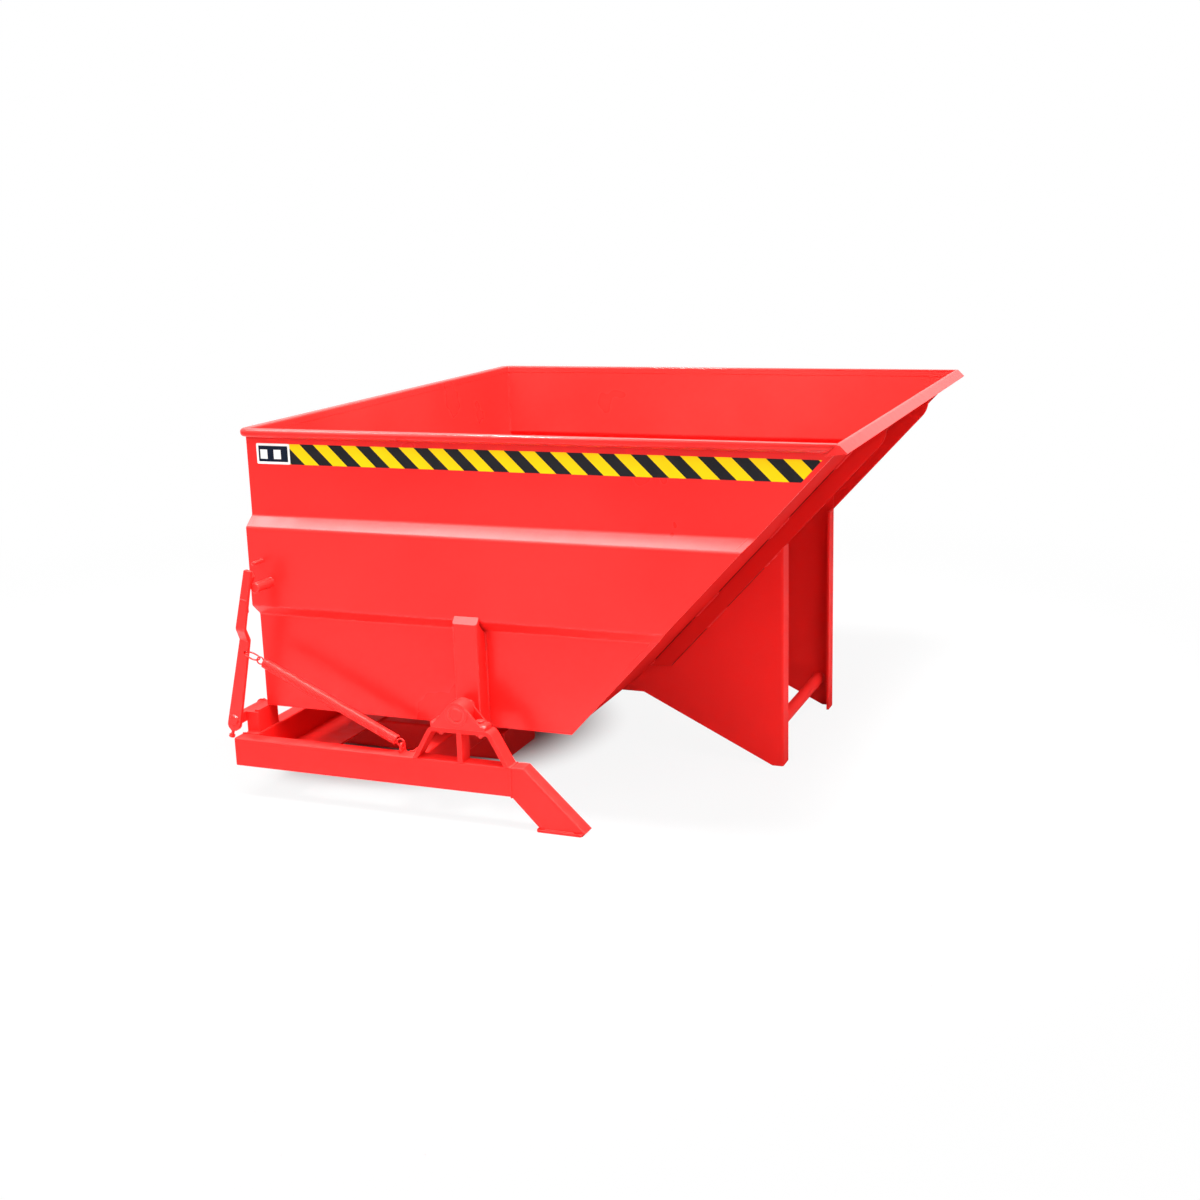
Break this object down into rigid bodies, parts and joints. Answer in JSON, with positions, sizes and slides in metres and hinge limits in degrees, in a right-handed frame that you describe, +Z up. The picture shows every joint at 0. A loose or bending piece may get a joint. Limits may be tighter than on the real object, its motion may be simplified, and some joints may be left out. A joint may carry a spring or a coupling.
{
  "type": "tipping hopper",
  "caption": "Sheet steel tipping hopper with a sloping chute and swaged sides, hinged on a low base frame with fork pockets and held by a sprung latch lever.",
  "frame": {"origin": "on the ground under the middle of the overall box", "axes": "+X towards the pouring lip, +Y to the left of someone facing that way, +Z up"},
  "size_m": [1.515, 1.7, 0.885],
  "materials": {
    "hopper_paint": "semi-gloss red paint on rolled sheet",
    "frame_paint": "semi-gloss red paint on rolled section",
    "cast_paint": "semi-gloss red paint on rough casting",
    "spring_paint": "thin red paint over spring wire",
    "bush_bronze": "turned bronze"
  },
  "bodies": {
    "base_frame": {"bearing_bolts": "frame_paint", "bearing_bush_left": "bush_bronze", "bearing_bush_right": "bush_bronze", "bearing_housing_left": "cast_paint", "bearing_housing_right": "cast_paint", "bearing_nuts": "frame_paint", "bracket_post_left": "frame_paint", "bracket_post_right": "frame_paint", "foot_plate_left": "frame_paint", "foot_plate_right": "frame_paint", "fork_pocket_left": "frame_paint", "fork_pocket_right": "frame_paint", "fork_stop_left": "frame_paint", "fork_stop_right": "frame_paint", "front_cross_member": "frame_paint", "front_foot_left": "frame_paint", "front_foot_right": "frame_paint", "latch_bearing": "frame_paint", "pivot_bracket_left": "frame_paint", "pivot_bracket_right": "frame_paint", "rail_left": "frame_paint", "rail_right": "frame_paint", "rear_cross_member": "frame_paint", "rest_pad_left": "frame_paint", "rest_pad_right": "frame_paint", "rest_post_left": "frame_paint", "rest_post_right": "frame_paint", "spring_eye": "frame_paint", "tension_spring": "spring_paint"},
    "hopper": {"catch_pin": "hopper_paint", "chute_plate": "hopper_paint", "chute_rib_left": "hopper_paint", "chute_rib_right": "hopper_paint", "floor_plate": "hopper_paint", "leg_cross_tube": "hopper_paint", "leg_plate_left": "hopper_paint", "leg_plate_right": "hopper_paint", "pivot_channel_left": "hopper_paint", "pivot_channel_right": "hopper_paint", "pivot_pin_left": "hopper_paint", "pivot_pin_right": "hopper_paint", "pouring_lip": "hopper_paint", "rear_wall": "hopper_paint", "rim_tube_left": "hopper_paint", "rim_tube_rear": "hopper_paint", "rim_tube_right": "hopper_paint", "side_wall_left": "hopper_paint", "side_wall_right": "hopper_paint", "wall_stud": "hopper_paint"},
    "latch_lever": {"latch_hook": "frame_paint", "latch_lever": "frame_paint", "latch_shaft": "frame_paint", "shaft_nut": "frame_paint", "spring_link": "spring_paint", "stop_screw": "frame_paint"}
  },
  "joints": [
    {"name": "hopper_tip", "type": "hinge", "parent": "base_frame", "child": "hopper", "pos_m": [-0.11853, 0, 0.26], "axis": [0, 1, 0], "range_deg": [0, 80]},
    {"name": "latch_pull", "type": "hinge", "parent": "base_frame", "child": "latch_lever", "pos_m": [-0.73553, -0.815, 0.183], "axis": [0, -1, 0], "range_deg": [0, 12], "stiffness_Nm_per_rad": 15, "springref_deg": -17.19, "deforming": ["tension_spring"]}
  ]
}
